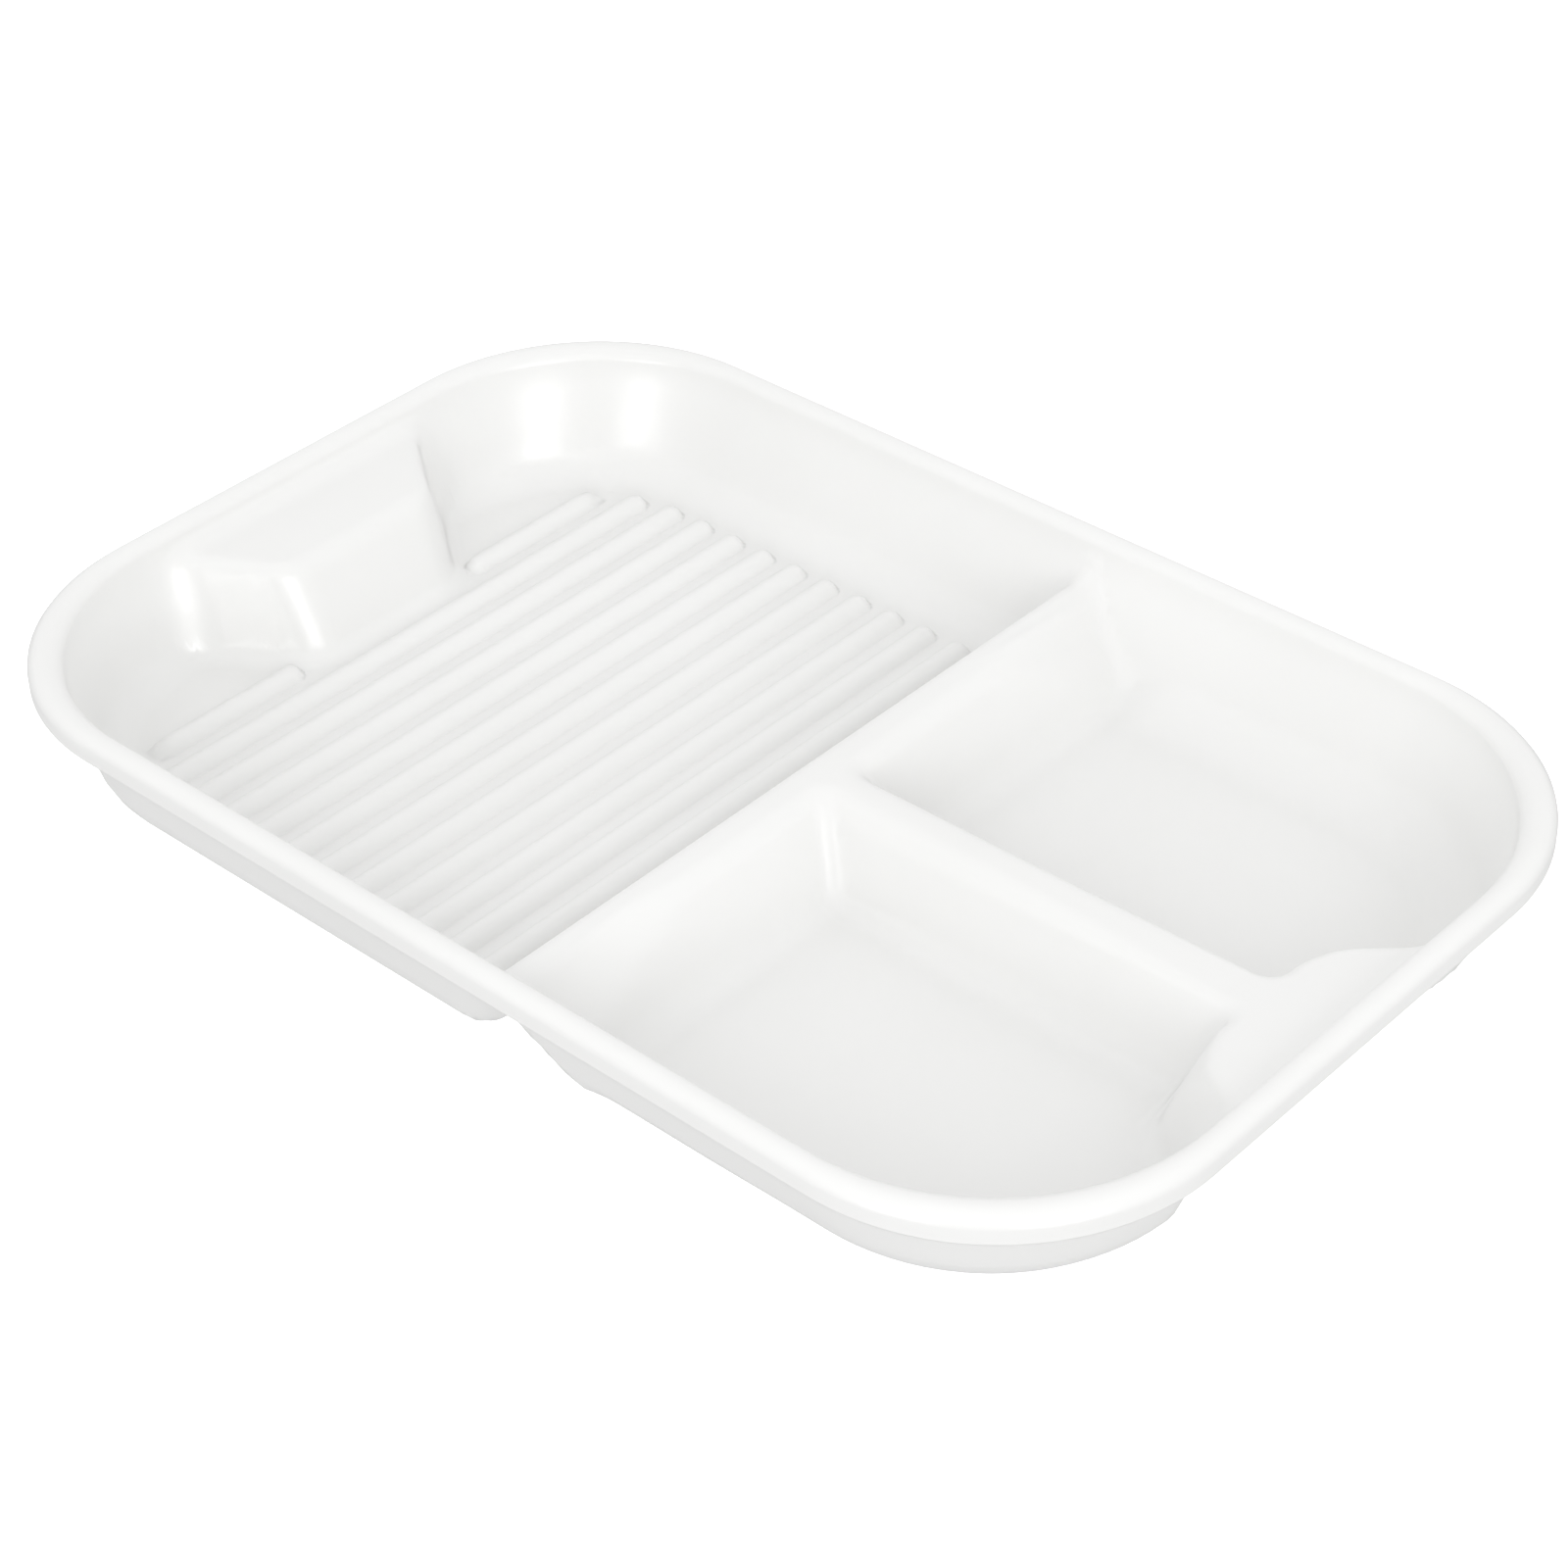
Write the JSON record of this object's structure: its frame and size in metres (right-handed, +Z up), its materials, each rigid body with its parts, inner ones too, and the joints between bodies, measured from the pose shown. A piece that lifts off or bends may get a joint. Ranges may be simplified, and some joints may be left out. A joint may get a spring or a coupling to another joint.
{
  "type": "paint roller tray",
  "caption": "Shallow white plastic paint roller tray with a ribbed rolling area, a cross ridge, divided paint wells, a rolled rim and a moulded hand grip at each end.",
  "frame": {"origin": "centre of the tray's outline, at the level of the flat undersides it rests on", "axes": "+X along the tray from the ribbed rolling area to the paint wells, +Y across the tray, +Z up out of the open side"},
  "size_m": [0.4, 0.263, 0.043],
  "materials": {
    "white_plastic": "glossy moulded white plastic, slightly worn"
  },
  "bodies": {
    "root": {"tray": "white_plastic"}
  },
  "joints": []
}
